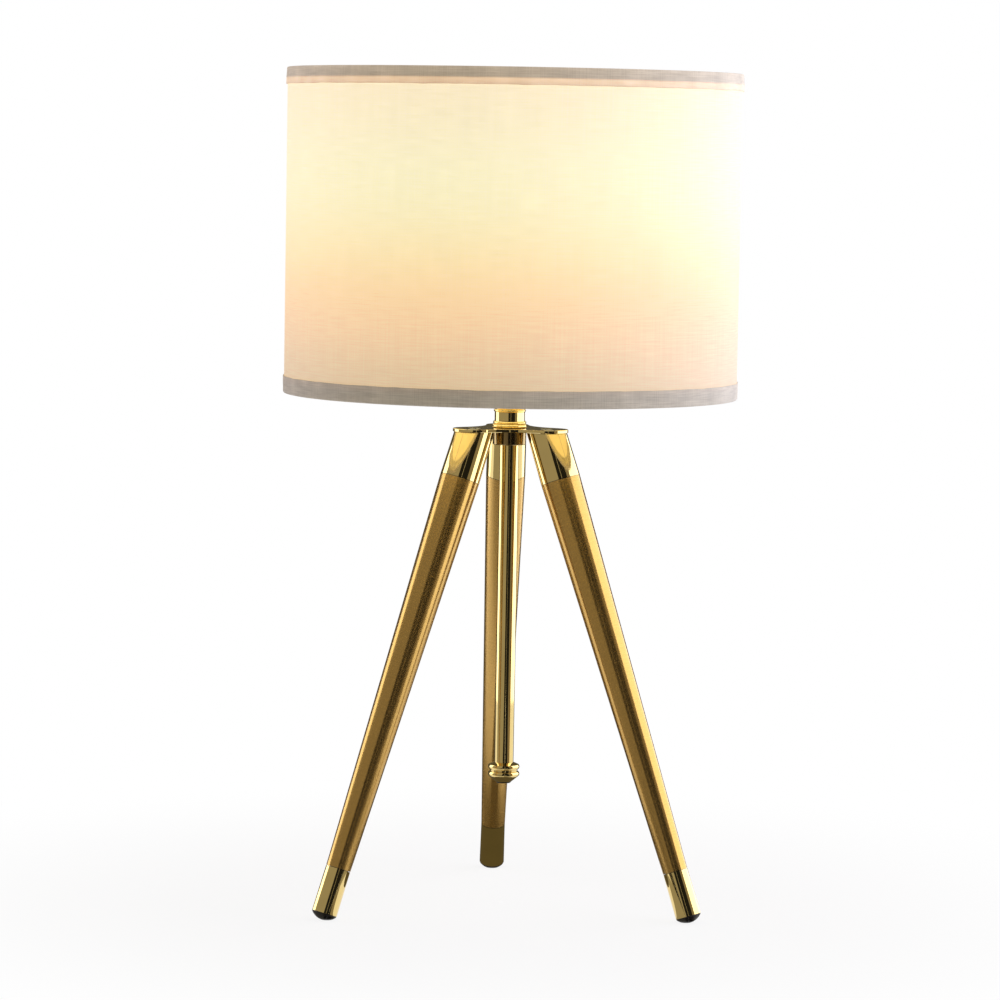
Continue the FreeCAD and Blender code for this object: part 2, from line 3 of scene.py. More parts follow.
import bpy
import numpy as np
from mathutils import Matrix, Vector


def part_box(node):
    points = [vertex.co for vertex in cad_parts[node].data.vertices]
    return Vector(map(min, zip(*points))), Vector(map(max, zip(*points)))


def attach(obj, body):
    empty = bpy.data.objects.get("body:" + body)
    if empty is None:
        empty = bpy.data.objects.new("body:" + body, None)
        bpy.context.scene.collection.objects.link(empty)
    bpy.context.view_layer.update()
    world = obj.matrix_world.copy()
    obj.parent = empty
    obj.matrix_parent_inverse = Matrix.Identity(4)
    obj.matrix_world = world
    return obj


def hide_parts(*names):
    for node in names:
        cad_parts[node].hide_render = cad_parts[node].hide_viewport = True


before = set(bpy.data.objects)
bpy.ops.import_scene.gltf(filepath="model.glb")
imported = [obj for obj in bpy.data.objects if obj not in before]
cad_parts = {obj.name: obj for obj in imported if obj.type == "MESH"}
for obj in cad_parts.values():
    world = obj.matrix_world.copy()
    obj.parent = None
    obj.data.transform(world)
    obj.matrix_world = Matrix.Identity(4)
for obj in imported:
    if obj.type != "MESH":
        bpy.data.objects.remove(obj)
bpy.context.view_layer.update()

bl_info = {
    "name": "Tripod table lamp",
    "version": (1, 0, 0),
    "blender": (4, 5, 0),
    "location": "3D View > Sidebar > Lamp",
    "description": "Cloth shade, metal finishes, lit bulb and studio for the tripod table lamp",
    "category": "Object",
}

MM = 0.001
FABRIC_LOW, FABRIC_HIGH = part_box("shade_fabric")
LINER_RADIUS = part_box("shade_liner")[1].x
TOP_TRIM_LOW, TOP_TRIM_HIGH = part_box("shade_top_trim")
BOTTOM_TRIM_LOW, BOTTOM_TRIM_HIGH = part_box("shade_bottom_trim")
TOP_WIRE_LOW, TOP_WIRE_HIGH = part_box("top_ring_wire")
BULB_LOW, BULB_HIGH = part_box("bulb_glass")

SHADE_RADIUS = TOP_TRIM_HIGH.x
TRIM_BAND = BOTTOM_TRIM_HIGH.z - BOTTOM_TRIM_LOW.z
WIRE_THICKNESS = TOP_WIRE_HIGH.z - TOP_WIRE_LOW.z
LINER_WALL = 0.5 * MM
GLUE_GAP = 0.02 * MM                # cloth to liner, so that their faces don't share a place
LEGS = {"back": 90, "left": 210, "right": 330}      # degrees, the way each leg leans

# Folded trims.
FOLD_STEP = 0.7 * MM                # from one point to the next along a trim's path
FOLD_ROUNDING = 1.2 * MM
WIRE_GAP = 0.05 * MM                # trim to ring wire
WIRE_TO_LINER = 2 * MM              # height in which the fold comes back from wire to liner
LOOSE_DEPTH = (2 * MM, 7 * MM)      # from the rim: where the band begins to pucker, and does
HEM_DEPTH = 3 * MM                  # stretch by the band's edge that wavers up and down
HEM_WAVER = 0.6                     # waver of the hem, as a share of the pucker
PUCKER_BIAS = 0.35                  # the more, the more of the band stands off
WAVE_SLANT = 1 / (4 * MM)           # most that a wave turns, in radians for each metre of depth
# Waves of the pucker: how many go round the ring, and their size.
WAVES = [(7, 0.5), (17, 0.9), (29, 1.0), (41, 0.8), (58, 0.6), (83, 0.5), (127, 0.35)]

# Light of the bulb in each piece, as (share of the height, linear colour).
CLOTH_GLOW = [
    (0.0, (0.48, 0.34, 0.18)), (0.1, (0.56, 0.395, 0.205)), (0.2, (0.695, 0.445, 0.225)),
    (0.317, (0.78, 0.51, 0.235)), (0.434, (0.79, 0.615, 0.295)), (0.55, (0.77, 0.685, 0.385)),
    (0.67, (0.775, 0.725, 0.44)), (0.8, (0.775, 0.70, 0.445)), (1.0, (0.785, 0.65, 0.425))]
TOP_TRIM_GLOW = [
    (0.0, (0.26, 0.13, 0.05)), (0.06, (0.52, 0.32, 0.17)), (0.28, (0.6, 0.38, 0.2)),
    (0.36, (0.54, 0.33, 0.16)), (0.41, (0.18, 0.12, 0.06)), (0.5, (0.15, 0.1, 0.05)),
    (1.0, (0.24, 0.17, 0.1))]
BOTTOM_TRIM_GLOW = [
    (0.0, (0.06, 0.04, 0.015)), (0.4, (0.05, 0.03, 0.005)), (0.62, (0.04, 0.025, 0.005)),
    (0.85, (0.08, 0.04, 0.01)), (0.96, (0.09, 0.05, 0.02)), (1.0, (0.03, 0.015, 0.0))]
LINER_GLOW = [
    (0.0, (0.31, 0.29, 0.15)), (0.3, (0.5, 0.45, 0.2)), (0.7, (0.5, 0.54, 0.36)),
    (1.0, (0.5, 0.5, 0.35))]
BULB_LIGHT = [
    (0.0, (0.6, 0.42, 0.2)), (0.35, (1.0, 0.78, 0.48)), (1.0, (1.0, 0.8, 0.52))]

# Studio panels: name, first and last angle from the camera's side to the right, colour, strength.
# Softboxes and flags are what the metal reflects, and windows are what lights matt surfaces.
PANELS = [
    ("softbox_left", -130, -96, (1.0, 0.99, 0.97), 2.3),
    ("flag_tan_left", -96, -13, (0.60, 0.56, 0.47), 0.57),
    ("flag_black_front", -13, 5, (0.015, 0.015, 0.015), 1.0),
    ("strip_front", 5, 7, (0.5, 0.47, 0.4), 0.8),
    ("flag_black_right", 7, 38, (0.015, 0.015, 0.015), 1.0),
    ("flag_tan_right", 38, 58, (0.5, 0.44, 0.34), 0.5),
    ("softbox_right", 58, 138, (0.97, 0.99, 1.0), 2.3),
    ("flag_brown_back", 138, 230, (0.10, 0.085, 0.05), 1.0),
    ("window_left", -130, -96, (1.0, 0.86, 1.0), 1.1),
    ("window_right", 54, 138, (0.92, 0.87, 1.0), 1.75)]
MIDDLE_CARD = 63 * MM               # radius of the card between the feet
CARD_LIFT = 1 * MM                  # panels and cards above the floor
CARD_START = 0.002                  # share of a card's run that is left free at the foot
SKY_COLOUR = (1.0, 0.93, 0.84, 1)
FLOOR_RINGS = [6.0, 3.0, 1.2, 0.5, 0.2, 0.001]      # m
FLOOR_DROP = 0.02 * MM              # floor under the pads, so that their faces don't share a place
SHADOW_REACH = (0.12, 0.5)          # m from the lamp's axis: where the shadow starts to fade, ends
SHADOW_WHITE = 0.88                 # share of plain white that lightens the shadow
SENSOR_WIDTH = 36.0                 # mm


# ---- Settings that a user would change ----

def linear(hex_value):
    """Linear RGBA of an sRGB hex colour."""
    shares = [int(hex_value[i:i + 2], 16) / 255 for i in (1, 3, 5)]
    return (*[s / 12.92 if s <= 0.04045 else ((s + 0.055) / 1.055) ** 2.4 for s in shares], 1.0)


def length_prop(name, description, default):
    return bpy.props.FloatProperty(name=name, description=description, default=default,
                                   min=0.0, unit="LENGTH", precision=5)


def share_prop(name, description, default):
    return bpy.props.FloatProperty(name=name, description=description, default=default, min=0.0)


def turn_prop(name, description, degrees):
    return bpy.props.FloatProperty(name=name, description=description, subtype="ANGLE",
                                   default=math.radians(degrees))


def colour_prop(name, description, hex_value):
    return bpy.props.FloatVectorProperty(name=name, description=description, subtype="COLOR",
                                         size=3, min=0.0, max=1.0, default=linear(hex_value)[:3])


class ShadeSettings(bpy.types.PropertyGroup):
    cloth_colour: colour_prop("Cloth", "Colour of the cloth's yarn", "#CCC9C4")
    trim_colour: colour_prop("Trim", "Colour of the folded trims' cloth", "#D8D6CA")
    liner_colour: colour_prop("Liner", "Colour of the plastic sheet inside", "#F2EBDD")
    thread_spacing: length_prop("Thread spacing", "From one weft thread to the next", 0.62 * MM)
    slub_length: length_prop("Slub length", "Length of a thick place in a thread", 14 * MM)
    seam_width: length_prop("Seam", "Width of the cloth's lap seam at the back", 9 * MM)
    seam_thickness: length_prop("Seam thickness", "How far the lap stands out", 0.3 * MM)
    trim_thickness: length_prop("Trim thickness", "Thickness of the trims' cloth", 0.55 * MM)
    trim_return: length_prop("Trim return", "Depth of the trims inside the shade", 8.5 * MM)
    trim_pucker: length_prop("Trim pucker", "How far the trims stand off unevenly", 0.35 * MM)
    glow: share_prop("Glow", "How brightly the lit cloth shines", 1.0)
    bulb_glow: share_prop("Bulb", "How brightly the bulb's glass shines", 1.2)


class MetalSettings(bpy.types.PropertyGroup):
    polished_colour: colour_prop("Polished gold", "Plating of sleeves, tips, hub and neck",
                                 "#F1D58A")
    satin_colour: colour_prop("Satin gold", "Plating of the leg tubes", "#CBA35A")
    turning_pitch: length_prop("Turning marks", "From one turned line to the next on the legs",
                               0.9 * MM)
    leg_lean: turn_prop("Leg lean", "Angle from a leg's axis to the upright", 19.4)
    # Reach of the painted shade that darkens joints and grooves.
    groove_shade_reach: length_prop("Joint shade", "Width of the joints and grooves that look dark",
                             1.2 * MM)
    edge_width: length_prop("Edge wear", "Width of the paler line along worn edges", 0.25 * MM)


class StudioSettings(bpy.types.PropertyGroup):
    camera_place: bpy.props.FloatVectorProperty(
        name="Camera", description="Place of the camera", subtype="TRANSLATION", unit="LENGTH",
        size=3, default=(-0.1365, -2.5753, 0.4688))
    heading: turn_prop("Heading", "Camera's turn to the right", 2.92)
    pitch: turn_prop("Pitch", "Camera's tilt downwards", 4.82)
    roll: turn_prop("Roll", "Camera's roll", 0.98)
    focal_length: bpy.props.FloatProperty(name="Focal length", description="Of the camera's lens",
                                          unit="CAMERA", default=150.7)
    panel_radius: length_prop("Panel radius", "From the lamp to the ring of panels", 0.95)
    panel_height: length_prop("Panel height", "Height of the ring of panels", 1.9)
    sky: share_prop("Sky", "Soft light from all round", 0.3)


# ---- Node and mesh helpers ----

def add(tree, kind, values=None, **settings):
    """Add a node. values maps an input's name or number to a value or to a socket to link."""
    node = tree.nodes.new(kind)
    for key, value in settings.items():
        setattr(node, key, value)
    for key, value in (values or {}).items():
        if isinstance(value, bpy.types.NodeSocket):
            tree.links.new(value, node.inputs[key])
        else:
            node.inputs[key].default_value = value
    return node


def new_material(name):
    """An empty material, its tree and its output's surface socket."""
    material = bpy.data.materials.new(name)
    material.use_nodes = True
    tree = material.node_tree
    tree.nodes.clear()
    return material, tree, tree.nodes.new("ShaderNodeOutputMaterial").inputs["Surface"]


def grid_mesh(name, points, uv=None, close_u=True, close_v=False):
    """Mesh of a grid of points with shape (rows, columns, 3), rows along v and columns along u.

    A face joins each point to its next along u and v, and a closed way wraps round.
    """
    rows, columns = points.shape[:2]
    v0 = np.arange(rows if close_v else rows - 1)
    u0 = np.arange(columns if close_u else columns - 1)
    v0, u0 = (a.ravel() for a in np.meshgrid(v0, u0, indexing="ij"))
    v1, u1 = (v0 + 1) % rows, (u0 + 1) % columns
    faces = np.stack([v0 * columns + u0, v0 * columns + u1,
                      v1 * columns + u1, v1 * columns + u0], 1)
    mesh = bpy.data.meshes.new(name)
    mesh.vertices.add(rows * columns)
    mesh.vertices.foreach_set("co", points.astype(np.float32).ravel())
    mesh.loops.add(faces.size)
    mesh.loops.foreach_set("vertex_index", faces.astype(np.int32).ravel())
    mesh.polygons.add(len(faces))
    mesh.polygons.foreach_set("loop_start", np.arange(0, faces.size, 4, dtype=np.int32))
    mesh.polygons.foreach_set("use_smooth", np.ones(len(faces), bool))
    mesh.update(calc_edges=True)
    if uv is not None:
        layer = mesh.uv_layers.new(name="cloth")
        corner_v = np.stack([v0, v0, v0 + 1, v0 + 1], 1)
        corner_u = np.stack([u0, u0 + 1, u0 + 1, u0], 1)
        layer.data.foreach_set("uv", uv(corner_u, corner_v).astype(np.float32).ravel())
    mesh.validate()
    thing = bpy.data.objects.new(name, mesh)
    bpy.context.scene.collection.objects.link(thing)
    return thing


def turned_grid(profile, columns, swell=None, lift=None):
    """Points of a profile of (radius, height) rows carried round the Z axis.

    swell(angle, row) is added to the radius and lift(angle, row) to the height, so that the
    ring can be uneven.
    """
    angle = np.linspace(0, 2 * math.pi, columns, endpoint=False)[None, :]
    row = np.arange(len(profile))[:, None]
    radius, height = (np.repeat(profile[:, i:i + 1], columns, 1) for i in (0, 1))
    if swell is not None:
        radius = radius + swell(angle, row)
    if lift is not None:
        height = height + lift(angle, row)
    return np.stack([radius * np.cos(angle), radius * np.sin(angle), height], 2)


def rounded_path(corners, step, rounding):
    """Points every step along the straight runs between corners, with the corners rounded.

    Each point is the mean of nine places on the runs, spread over the length of rounding.
    """
    corners = np.array(corners)
    along = np.concatenate([[0], np.cumsum(np.hypot(*np.diff(corners, axis=0).T))])
    at = np.linspace(0, along[-1], int(along[-1] / step) + 1)
    reach = np.minimum(rounding / 2, np.minimum(at, along[-1] - at))
    places = at[:, None] + reach[:, None] * np.linspace(-1, 1, 9)
    return np.stack([np.interp(places, along, corners[:, i]).mean(1) for i in (0, 1)], 1), at


def strip_outline(path, along, thickness):
    """Outline of a strip of even thickness along a path, with half-round ends.

    The right side goes with the path and the left side comes back, so faces point outwards.
    Also gives each outline point's length along the path.
    """
    way = np.gradient(path, axis=0)
    way /= np.linalg.norm(way, axis=1, keepdims=True)
    side = np.stack([way[:, 1], -way[:, 0]], 1)
    bend = np.linspace(0, math.pi, 5)[1:-1, None]
    half = thickness / 2
    end = path[-1] + half * (np.cos(bend) * side[-1] + np.sin(bend) * way[-1])
    start = path[0] - half * (np.cos(bend) * side[0] + np.sin(bend) * way[0])
    outline = np.concatenate([path + half * side, end, (path - half * side)[::-1], start])
    length = np.concatenate([along, np.full(3, along[-1]), along[::-1], np.zeros(3)])
    return outline, length


def step_up(value, low, high):
    """Smooth step from 0 at low to 1 at high."""
    share = np.clip((value - low) / (high - low), 0, 1)
    return share * share * (3 - 2 * share)


def finish_piece(piece, material, body, node):
    piece.data.materials.append(material)
    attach(piece, body)
    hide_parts(node)


# ---- Cloth ----

def glow_by_height(tree, low, high, colours):
    """Colour that follows the object's height from low to high: the bulb's light in the cloth.

    colours is a list of (share of the height, linear colour).
    """
    place = add(tree, "ShaderNodeTexCoord")
    height = add(tree, "ShaderNodeSeparateXYZ", {0: place.outputs["Object"]})
    share = add(tree, "ShaderNodeMapRange", {
        "Value": height.outputs["Z"], "From Min": low, "From Max": high})
    ramp = add(tree, "ShaderNodeValToRGB", {0: share.outputs[0]})
    ramp.color_ramp.interpolation = "B_SPLINE"
    while len(ramp.color_ramp.elements) < len(colours):
        ramp.color_ramp.elements.new(0.5)
    for element, (at, colour) in zip(ramp.color_ramp.elements, colours):
        element.position = at
        element.color = (*colour, 1)
    return ramp.outputs[0]


def woven_pattern(tree, settings):
    """Slub weave on the cloth's own UV map in metres: long thick and thin places in the weft.

    The weft runs round the shade. The warp is finer and more even, so it shows less.
    """
    uv = add(tree, "ShaderNodeUVMap", uv_map="cloth")
    weft = add(tree, "ShaderNodeMapping", {
        0: uv.outputs[0], "Scale": (1 / settings.slub_length, 1 / settings.thread_spacing, 1)})
    slub = add(tree, "ShaderNodeTexNoise", {0: weft.outputs[0], "Scale": 0.75, "Detail": 2.0})
    warp = add(tree, "ShaderNodeMapping", {
        0: uv.outputs[0],
        "Scale": (1 / settings.thread_spacing, 0.4 / settings.slub_length, 1)})
    rib = add(tree, "ShaderNodeTexNoise", {0: warp.outputs[0], "Scale": 0.75, "Detail": 1.0})
    both = add(tree, "ShaderNodeMix", {
        "Factor": 0.35, 2: slub.outputs[0], 3: rib.outputs[0]}, data_type="FLOAT")
    return both.outputs[0]


def toned(tree, pattern, colour, low, high):
    """colour made darker and lighter by a pattern: times low where it is 0.3, high at 0.7."""
    tone = add(tree, "ShaderNodeMapRange", {
        "Value": pattern, "From Min": 0.3, "From Max": 0.7, "To Min": low, "To Max": high})
    return add(tree, "ShaderNodeVectorMath", {0: colour, "Scale": tone.outputs[0]},
               operation="SCALE").outputs[0]


def cloth_material(settings):
    """Slub-weave polyester and cotton cloth, woven, laminated on plastic.

    It is matt and soft, its weft's thick places show as fine level streaks, and the bulb
    behind it makes it glow: yellow where the bulb is near, amber towards the bottom.
    """
    material, tree, surface = new_material("slub_weave_cloth_laminated")
    weave = woven_pattern(tree, settings)
    yarn = toned(tree, weave, settings.cloth_colour, 0.9, 1.07)
    glow = glow_by_height(tree, BOTTOM_TRIM_LOW.z, TOP_TRIM_HIGH.z, CLOTH_GLOW)
    lit = toned(tree, weave, glow, 0.93, 1.045)
    bump = add(tree, "ShaderNodeBump", {"Height": weave, "Distance": 0.15 * MM, "Strength": 0.7})
    skin = add(tree, "ShaderNodeBsdfPrincipled", {
        "Base Color": yarn, "Roughness": 0.9, "Specular IOR Level": 0.2,
        "Sheen Weight": 0.15, "Sheen Roughness": 0.5, "Normal": bump.outputs[0],
        "Emission Color": lit, "Emission Strength": settings.glow})
    through = add(tree, "ShaderNodeBsdfTranslucent", {0: yarn, "Normal": bump.outputs[0]})
    mixed = add(tree, "ShaderNodeMixShader", {0: 0.15, 1: skin.outputs[0], 2: through.outputs[0]})
    tree.links.new(mixed.outputs[0], surface)
    return material


def trim_material(settings, name, low, high, colours):
    """The shade's cloth folded double and glued over a rim: greyer, as little light comes through.

    Where it lies in one layer on the shade, the light behind it warms it.
    """
    material, tree, surface = new_material(name)
    weave = woven_pattern(tree, settings)
    uv = add(tree, "ShaderNodeUVMap", uv_map="cloth")
    patch_scale = 1 / (9 * MM)
    stretched = add(tree, "ShaderNodeMapping", {
        0: uv.outputs[0], "Scale": (patch_scale / 2, patch_scale, 1)})
    patch = add(tree, "ShaderNodeTexNoise", {0: stretched.outputs[0], "Scale": 1.0, "Detail": 4.0})
    yarn = toned(tree, weave, settings.trim_colour, 0.82, 1.14)
    yarn = toned(tree, patch.outputs[0], yarn, 0.88, 1.1)
    glow = glow_by_height(tree, low, high, colours)
    lit = toned(tree, patch.outputs[0], glow, 0.88, 1.12)
    both = add(tree, "ShaderNodeMath", {0: weave, 1: patch.outputs[0]})
    bump = add(tree, "ShaderNodeBump", {
        "Height": both.outputs[0], "Distance": 0.3 * MM, "Strength": 0.7})
    skin = add(tree, "ShaderNodeBsdfPrincipled", {
        "Base Color": yarn, "Roughness": 0.8, "Specular IOR Level": 0.3,
        "Sheen Weight": 0.2, "Sheen Roughness": 0.4, "Normal": bump.outputs[0],
        "Emission Color": lit, "Emission Strength": settings.glow})
    tree.links.new(skin.outputs[0], surface)
    return material


def liner_material(settings):
    """White PVC lining sheet, calendered: smooth with a slight orange peel, bright by the bulb."""
    material, tree, surface = new_material("calendered_white_pvc")
    place = add(tree, "ShaderNodeTexCoord")
    peel = add(tree, "ShaderNodeTexNoise", {
        0: place.outputs["Object"], "Scale": 1 / (2.5 * MM), "Detail": 2.0})
    sheet = toned(tree, peel.outputs[0], settings.liner_colour, 0.985, 1.01)
    glow = glow_by_height(tree, BOTTOM_TRIM_LOW.z, TOP_TRIM_HIGH.z, LINER_GLOW)
    bump = add(tree, "ShaderNodeBump", {
        "Height": peel.outputs[0], "Distance": 0.05 * MM, "Strength": 0.3})
    skin = add(tree, "ShaderNodeBsdfPrincipled", {
        "Base Color": sheet, "Roughness": 0.4, "Normal": bump.outputs[0],
        "Emission Color": glow, "Emission Strength": settings.glow})
    through = add(tree, "ShaderNodeBsdfTranslucent", {0: sheet})
    mixed = add(tree, "ShaderNodeMixShader", {0: 0.2, 1: skin.outputs[0], 2: through.outputs[0]})
    tree.links.new(mixed.outputs[0], surface)
    return material


# ---- Metals, plastics, glass and rubber ----

def worn_edges(tree, width):
    """1 along an edge sharper than width and 0 elsewhere: a rounded normal leaves the true one."""
    rounded = add(tree, "ShaderNodeBevel", {"Radius": width}, samples=4)
    true = add(tree, "ShaderNodeNewGeometry")
    same = add(tree, "ShaderNodeVectorMath", {
        0: rounded.outputs[0], 1: true.outputs["Normal"]}, operation="DOT_PRODUCT")
    return add(tree, "ShaderNodeMapRange", {
        "Value": same.outputs["Value"], "From Min": 0.97, "From Max": 0.8}).outputs[0]


def groove_shade(tree, reach):
    """1 deep in joints and grooves narrower than reach and 0 elsewhere: where painted shade goes.
    """
    open_share = add(tree, "ShaderNodeAmbientOcclusion", {"Distance": reach}, samples=6)
    return add(tree, "ShaderNodeMapRange", {
        "Value": open_share.outputs["AO"], "From Min": 0.75, "From Max": 0.35}).outputs[0]


def worn_and_groove_shaded(tree, settings, colour, worn):
    """colour with paler worn edges, and darkened in joints and grooves as painted shade."""
    edged = add(tree, "ShaderNodeMix", {
        "Factor": worn_edges(tree, settings.edge_width), 6: colour, 7: linear(worn)},
        data_type="RGBA")
    # Dark brown painted shade deep in joints and grooves, where little light reaches.
    return add(tree, "ShaderNodeMix", {
        "Factor": groove_shade(tree, settings.groove_shade_reach), 6: edged.outputs[2],
        7: linear("#2A1D0C")}, data_type="RGBA").outputs[2]


def finish(name, hex_colour, roughness, worn, grain=1.0 * MM, tone=0.04, relief=0.01 * MM,
           edge=0.3 * MM, upright=1.0, **shader):
    """Surface with fine grain in tone, roughness and height, and another colour on its edges.

    grain is the distance from one grain to the next, tone how far the colour varies, relief
    the grain's height, worn the edges' colour and edge their width. upright draws the grain
    out into upright lines that many times as long. shader has more of the Principled shader's
    own values, with _ for a space.
    """
    material, tree, surface = new_material(name)
    place = add(tree, "ShaderNodeMapping", {
        0: add(tree, "ShaderNodeTexCoord").outputs["Object"],
        "Scale": (1, 1, 1 / upright)}).outputs[0]
    fine = add(tree, "ShaderNodeTexNoise", {0: place, "Scale": 1 / grain, "Detail": 3.0})
    broad = add(tree, "ShaderNodeTexNoise", {0: place, "Scale": 0.1 / grain, "Detail": 2.0})
    colour = toned(tree, fine.outputs[0], linear(hex_colour)[:3], 1 - tone, 1 + tone)
    colour = toned(tree, broad.outputs[0], colour, 1 - tone, 1 + tone)
    edged = add(tree, "ShaderNodeMix", {
        "Factor": worn_edges(tree, edge), 6: colour, 7: linear(worn)}, data_type="RGBA")
    rough = add(tree, "ShaderNodeMapRange", {
        "Value": broad.outputs[0], "From Min": 0.3, "From Max": 0.7,
        "To Min": 0.85 * roughness, "To Max": 1.2 * roughness})
    bump = add(tree, "ShaderNodeBump", {
        "Height": fine.outputs[0], "Distance": relief, "Strength": 0.6})
    skin = add(tree, "ShaderNodeBsdfPrincipled", {
        "Base Color": edged.outputs[2], "Roughness": rough.outputs[0], "Normal": bump.outputs[0],
        **{socket.replace("_", " "): value for socket, value in shader.items()}})
    tree.links.new(skin.outputs[0], surface)
    return material


def polished_gold_material(settings):
    """Gold-coloured plating on turned zinc, buffed and lacquered: a mirror with faint smears.

    The buffing leaves the surface a little uneven, which bends reflections, and its edges
    are paler, where the buff bites most.
    """
    material, tree, surface = new_material("gold_plating_buffed")
    place = add(tree, "ShaderNodeTexCoord").outputs["Object"]
    smear = add(tree, "ShaderNodeTexNoise", {0: place, "Scale": 1 / (11 * MM), "Detail": 4.0})
    ripple = add(tree, "ShaderNodeTexNoise", {0: place, "Scale": 1 / (6 * MM), "Detail": 1.0})
    colour = toned(tree, smear.outputs[0], settings.polished_colour, 0.96, 1.03)
    rough = add(tree, "ShaderNodeMapRange", {
        "Value": smear.outputs[0], "From Min": 0.3, "From Max": 0.7,
        "To Min": 0.03, "To Max": 0.075})
    bump = add(tree, "ShaderNodeBump", {
        "Height": ripple.outputs[0], "Distance": 0.02 * MM, "Strength": 0.3})
    skin = add(tree, "ShaderNodeBsdfPrincipled", {
        "Base Color": worn_and_groove_shaded(tree, settings, colour, "#FBE9B8"),
        "Metallic": 1.0, "Roughness": rough.outputs[0],
        "Normal": bump.outputs[0], "Coat Weight": 0.7, "Coat Roughness": 0.03})
    tree.links.new(skin.outputs[0], surface)
    return material


def satin_gold_material(settings, side):
    """Gold-coloured plating on a finely turned tube, lacquered: satin, with long soft bands.

    The turned lines ring the leg, so a reflection stays crisp across the leg and smears along
    it. The real lines are a few hundredths of a millimetre apart, too fine to show, and are
    drawn as coarse as they need to be. The lacquer is a little cloudy and scatters some light,
    so the dark bands stay brown.
    """
    material, tree, surface = new_material("gold_plating_turned_satin_" + side)
    away = math.radians(LEGS[side])
    lean = settings.leg_lean
    axis = (-math.cos(away) * math.sin(lean), -math.sin(away) * math.sin(lean), math.cos(lean))
    place = add(tree, "ShaderNodeTexCoord").outputs["Object"]
    along = add(tree, "ShaderNodeVectorMath", {0: place, 1: axis}, operation="DOT_PRODUCT")
    lines = add(tree, "ShaderNodeTexNoise", {
        "W": along.outputs["Value"], "Scale": 1 / settings.turning_pitch, "Detail": 2.0},
        noise_dimensions="1D")
    speckle = add(tree, "ShaderNodeTexNoise", {0: place, "Scale": 1 / (1.2 * MM), "Detail": 3.0})
    smear = add(tree, "ShaderNodeTexNoise", {0: place, "Scale": 1 / (30 * MM), "Detail": 3.0})
    colour = toned(tree, lines.outputs[0], settings.satin_colour, 0.95, 1.05)
    colour = toned(tree, speckle.outputs[0], colour, 0.95, 1.05)
    rough = add(tree, "ShaderNodeMapRange", {
        "Value": smear.outputs[0], "From Min": 0.3, "From Max": 0.7,
        "To Min": 0.2, "To Max": 0.25})
    bump = add(tree, "ShaderNodeBump", {
        "Height": lines.outputs[0], "Distance": 0.01 * MM, "Strength": 0.3})
    grain = add(tree, "ShaderNodeCombineXYZ", {0: axis[0], 1: axis[1], 2: axis[2]})
    world_grain = add(tree, "ShaderNodeVectorTransform", {0: grain.outputs[0]},
                      vector_type="VECTOR", convert_from="OBJECT", convert_to="WORLD")
    skin = add(tree, "ShaderNodeBsdfPrincipled", {
        "Base Color": worn_and_groove_shaded(tree, settings, colour, "#E2C58A"),
        "Metallic": 0.88, "Roughness": rough.outputs[0],
        "Anisotropic": 0.9, "Tangent": world_grain.outputs[0], "Normal": bump.outputs[0],
        "Coat Weight": 0.15, "Coat Roughness": 0.12})
    tree.links.new(skin.outputs[0], surface)
    return material


def opal_glass_material(settings):
    """Opal glass, blown: a smooth glossy skin over milky glass that spreads the light evenly.

    The light is a little weaker towards the neck, where the glass is thicker.
    """
    material, tree, surface = new_material("opal_glass_blown")
    place = add(tree, "ShaderNodeTexCoord").outputs["Object"]
    cloud = add(tree, "ShaderNodeTexNoise", {0: place, "Scale": 1 / (14 * MM), "Detail": 2.0})
    light = glow_by_height(tree, BULB_LOW.z, BULB_HIGH.z, BULB_LIGHT)
    lit = toned(tree, cloud.outputs[0], light, 0.97, 1.03)
    skin = add(tree, "ShaderNodeBsdfPrincipled", {
        "Base Color": linear("#FFF6E8"), "Roughness": 0.12, "Coat Weight": 0.5,
        "Emission Color": lit, "Emission Strength": settings.bulb_glow})
    tree.links.new(skin.outputs[0], surface)
    return material


def paint(material, *nodes):
    for node in nodes:
        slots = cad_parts[node].data.materials
        slots.clear()
        slots.append(material)


# ---- Operators ----

def lap_seam(settings, radius):
    """How far the lap seam at the back stands out, by angle: a smooth step at each side."""
    half = settings.seam_width / 2 / radius

    def swell(angle):
        off = np.abs(angle - math.pi / 2)
        return settings.seam_thickness * step_up(half - off, 0, 0.25 * half)
    return swell


class LAMP_OT_shade_cloth(bpy.types.Operator):
    """Make the drum's cloth skin with its slub weave and lap seam"""
    bl_idname = "lamp.shade_cloth"
    bl_label = "Shade cloth"

    def execute(self, context):
        """The skin is a drum: rows up the outside, over the top edge, down the inside and closed.

        The outside swells by the lap's thickness where the seam is, in a smooth step.
        """
        settings = context.scene.lamp_shade
        outside = SHADE_RADIUS - settings.trim_thickness
        inside = LINER_RADIUS + GLUE_GAP
        low, high = FABRIC_LOW.z, FABRIC_HIGH.z
        rows, columns = 17, 720
        up = np.linspace(low, high, rows)
        profile = np.concatenate([
            np.stack([np.full(rows, outside), up], 1),
            np.stack([np.full(rows, inside), up[::-1]], 1)])
        seam = lap_seam(settings, outside)
        arc = 2 * math.pi * outside / columns
        heights = np.append(profile[:, 1], low)

        def uv(column, row):
            return np.stack([column * arc, heights[row]], -1)

        points = turned_grid(profile, columns, lambda angle, row: seam(angle) * (row < rows))
        cloth = grid_mesh("shade_cloth", points, uv, close_v=True)
        finish_piece(cloth, cloth_material(settings), "shade", "shade_fabric")
        return {"FINISHED"}


